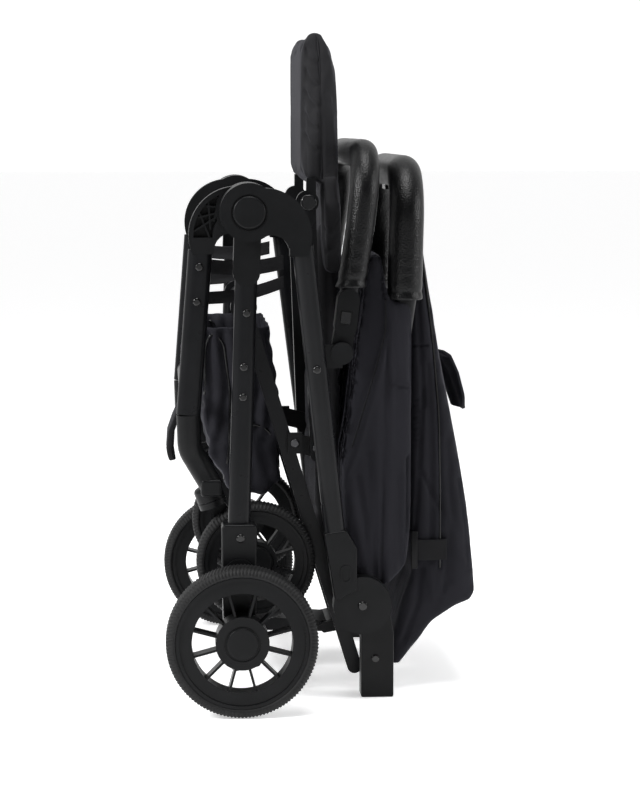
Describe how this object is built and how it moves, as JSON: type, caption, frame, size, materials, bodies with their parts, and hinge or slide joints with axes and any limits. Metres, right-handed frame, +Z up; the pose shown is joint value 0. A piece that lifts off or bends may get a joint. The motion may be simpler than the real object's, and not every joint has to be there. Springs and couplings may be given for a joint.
{
  "type": "baby stroller",
  "caption": "Compact folding baby stroller, folded upright: spoked rear wheels, caster front wheels, padded bumper bar, leather-look handle, canopy, reclining seat and leg rest.",
  "frame": {"origin": "centre of the footprint on the floor, folded and standing", "axes": "+Z up, -X towards the stroller's front, -Y its left side"},
  "size_m": [0.336, 0.49, 0.7012],
  "materials": {
    "frame_paint": "satin black powder coat",
    "steel_pins": "brushed",
    "rivets": "gloss black",
    "moulded_plastic": "fine texture",
    "buttons": "semi gloss",
    "tyre": "matte with knurled tread",
    "leather_grip": "pebbled leather look",
    "hood_fabric": "fine plain weave",
    "seat_fabric": "smooth woven",
    "webbing": "ribbed webbing"
  },
  "bodies": {
    "rear_frame": {"rear_leg_tubes": "frame_paint", "rear_hub_plates": "moulded_plastic", "wheel_blocks": "moulded_plastic", "rear_stub_axles": "steel_pins", "rear_axle_beam": "frame_paint", "seat_cross_tube": "frame_paint", "hub_pins": "steel_pins", "rear_rivets": "rivets", "side_webbing": "webbing", "basket": "hood_fabric"},
    "brake": {"brake_pedal": "moulded_plastic"},
    "front_frame": {"front_arm_castings": "moulded_plastic", "front_leg_tubes": "frame_paint", "front_elbows": "moulded_plastic", "caster_housings": "moulded_plastic", "front_cross_tube": "frame_paint", "front_rivets": "rivets", "front_pull_tab": "hood_fabric"},
    "handle_lower": {"lower_arm_castings": "moulded_plastic", "hub_covers": "moulded_plastic", "lower_handle_tubes": "frame_paint", "fold_knuckles": "moulded_plastic", "lower_rivets": "rivets", "bumper_brackets": "moulded_plastic"},
    "bumper_bar": {"bumper_shoes": "moulded_plastic", "bumper_tube": "frame_paint", "bumper_cover": "leather_grip"},
    "bumper_release_left": {"bumper_button_left": "buttons"},
    "bumper_release_right": {"bumper_button_right": "buttons"},
    "handle_upper": {"handle_feet": "moulded_plastic", "upper_handle_tube": "frame_paint", "handle_grip": "leather_grip", "foot_rivets": "rivets", "canopy_skirt": "hood_fabric"},
    "fold_release": {"fold_release_button": "buttons"},
    "canopy": {"canopy_fabric": "hood_fabric", "canopy_side_panels": "hood_fabric", "canopy_bows": "frame_paint"},
    "backrest": {"backrest_shell": "hood_fabric", "backrest_tab": "hood_fabric", "recline_straps": "webbing"},
    "seat_frame": {"seat_rails": "frame_paint", "seat_tubes": "frame_paint", "seat_pins": "steel_pins", "seat_brackets": "moulded_plastic", "seat_pad": "seat_fabric"},
    "leg_rest": {"leg_rest_pad": "seat_fabric", "leg_rest_knuckles": "moulded_plastic"},
    "leg_rest_release_left": {"leg_rest_button_left": "buttons"},
    "leg_rest_release_right": {"leg_rest_button_right": "buttons"},
    "rear_wheel_left": {"rear_tyre_left": "tyre", "rear_rim_left": "moulded_plastic"},
    "caster_left": {"caster_fork_left": "moulded_plastic"},
    "front_wheel_left": {"front_tyre_left": "tyre", "front_rim_left": "moulded_plastic"},
    "rear_wheel_right": {"rear_tyre_right": "tyre", "rear_rim_right": "moulded_plastic"},
    "caster_right": {"caster_fork_right": "moulded_plastic"},
    "front_wheel_right": {"front_tyre_right": "tyre", "front_rim_right": "moulded_plastic"}
  },
  "joints": [
    {"name": "main_fold", "type": "hinge", "parent": "rear_frame", "child": "handle_lower", "pos_m": [-0.081, 0, 0.514], "axis": [0, -1, 0], "range_deg": [0, 79]},
    {"name": "front_fold", "type": "hinge", "parent": "rear_frame", "child": "front_frame", "pos_m": [-0.081, 0, 0.514], "axis": [0, 1, 0], "range_deg": [0, 60.1]},
    {"name": "handle_fold", "type": "hinge", "parent": "handle_lower", "child": "handle_upper", "pos_m": [0.0375, 0, 0.103], "axis": [0, 1, 0], "range_deg": [0, 158.8]},
    {"name": "seat_fold", "type": "hinge", "parent": "rear_frame", "child": "seat_frame", "pos_m": [-0.083, 0, 0.411], "axis": [0, -1, 0], "range_deg": [0, 38.1]},
    {"name": "bumper_tilt", "type": "hinge", "parent": "handle_lower", "child": "bumper_bar", "pos_m": [0.0145, 0, 0.369], "axis": [0, 1, 0], "range_deg": [0, 25.4]},
    {"name": "canopy_open", "type": "hinge", "parent": "handle_upper", "child": "canopy", "pos_m": [0.0537, 0, 0.221], "axis": [0, -1, 0], "range_deg": [0, 95.1]},
    {"name": "recline", "type": "hinge", "parent": "handle_upper", "child": "backrest", "pos_m": [0.084, 0, 0.066], "axis": [0, 1, 0], "range_deg": [0, 25]},
    {"name": "leg_rest_tilt", "type": "hinge", "parent": "seat_frame", "child": "leg_rest", "pos_m": [-0.0155, 0, 0.521], "axis": [0, -1, 0], "range_deg": [0, 75]},
    {"name": "brake_step", "type": "hinge", "parent": "rear_frame", "child": "brake", "pos_m": [-0.084, 0, 0.054], "axis": [0, 1, 0], "range_deg": [0, 10]},
    {"name": "rear_wheel_spin_left", "type": "hinge", "parent": "rear_frame", "child": "rear_wheel_left", "pos_m": [-0.09, -0.2285, 0.078], "axis": [0, -1, 0], "continuous": true},
    {"name": "caster_swivel_left", "type": "hinge", "parent": "front_frame", "child": "caster_left", "pos_m": [-0.1185, -0.137, 0.21], "axis": [-0.342, 0, 0.9397], "range_deg": [-12, 2]},
    {"name": "front_wheel_spin_left", "type": "hinge", "parent": "caster_left", "child": "front_wheel_left", "pos_m": [-0.072, -0.137, 0.1443], "axis": [0, -1, 0], "continuous": true},
    {"name": "rear_wheel_spin_right", "type": "hinge", "parent": "rear_frame", "child": "rear_wheel_right", "pos_m": [-0.09, 0.2285, 0.078], "axis": [0, -1, 0], "continuous": true},
    {"name": "caster_swivel_right", "type": "hinge", "parent": "front_frame", "child": "caster_right", "pos_m": [-0.1185, 0.137, 0.21], "axis": [-0.342, 0, 0.9397], "range_deg": [-2, 12]},
    {"name": "front_wheel_spin_right", "type": "hinge", "parent": "caster_right", "child": "front_wheel_right", "pos_m": [-0.072, 0.137, 0.1443], "axis": [0, -1, 0], "continuous": true},
    {"name": "bumper_press_left", "type": "slide", "parent": "bumper_bar", "child": "bumper_release_left", "axis": [0, 1, 0], "range_m": [0, 0.0022], "stiffness_N_per_m": 400, "springref_m": -0.001},
    {"name": "leg_rest_press_left", "type": "slide", "parent": "seat_frame", "child": "leg_rest_release_left", "axis": [0, 1, 0], "range_m": [0, 0.0016], "stiffness_N_per_m": 400, "springref_m": -0.001},
    {"name": "bumper_press_right", "type": "slide", "parent": "bumper_bar", "child": "bumper_release_right", "axis": [0, -1, 0], "range_m": [0, 0.0022], "stiffness_N_per_m": 400, "springref_m": -0.001},
    {"name": "leg_rest_press_right", "type": "slide", "parent": "seat_frame", "child": "leg_rest_release_right", "axis": [0, -1, 0], "range_m": [0, 0.0016], "stiffness_N_per_m": 400, "springref_m": -0.001},
    {"name": "fold_press", "type": "slide", "parent": "handle_upper", "child": "fold_release", "axis": [0, 0, 1], "range_m": [0, 0.0014], "stiffness_N_per_m": 500, "springref_m": -0.001}
  ],
  "couplings": [
    {"joint": "front_fold", "follows": "main_fold", "ratio": 0.75949},
    {"joint": "handle_fold", "follows": "main_fold", "ratio": 2.0089},
    {"joint": "seat_fold", "follows": "main_fold", "ratio": 0.48101},
    {"joint": "bumper_tilt", "follows": "main_fold", "ratio": 0.32025},
    {"joint": "canopy_open", "follows": "main_fold", "ratio": 1.2025}
  ]
}
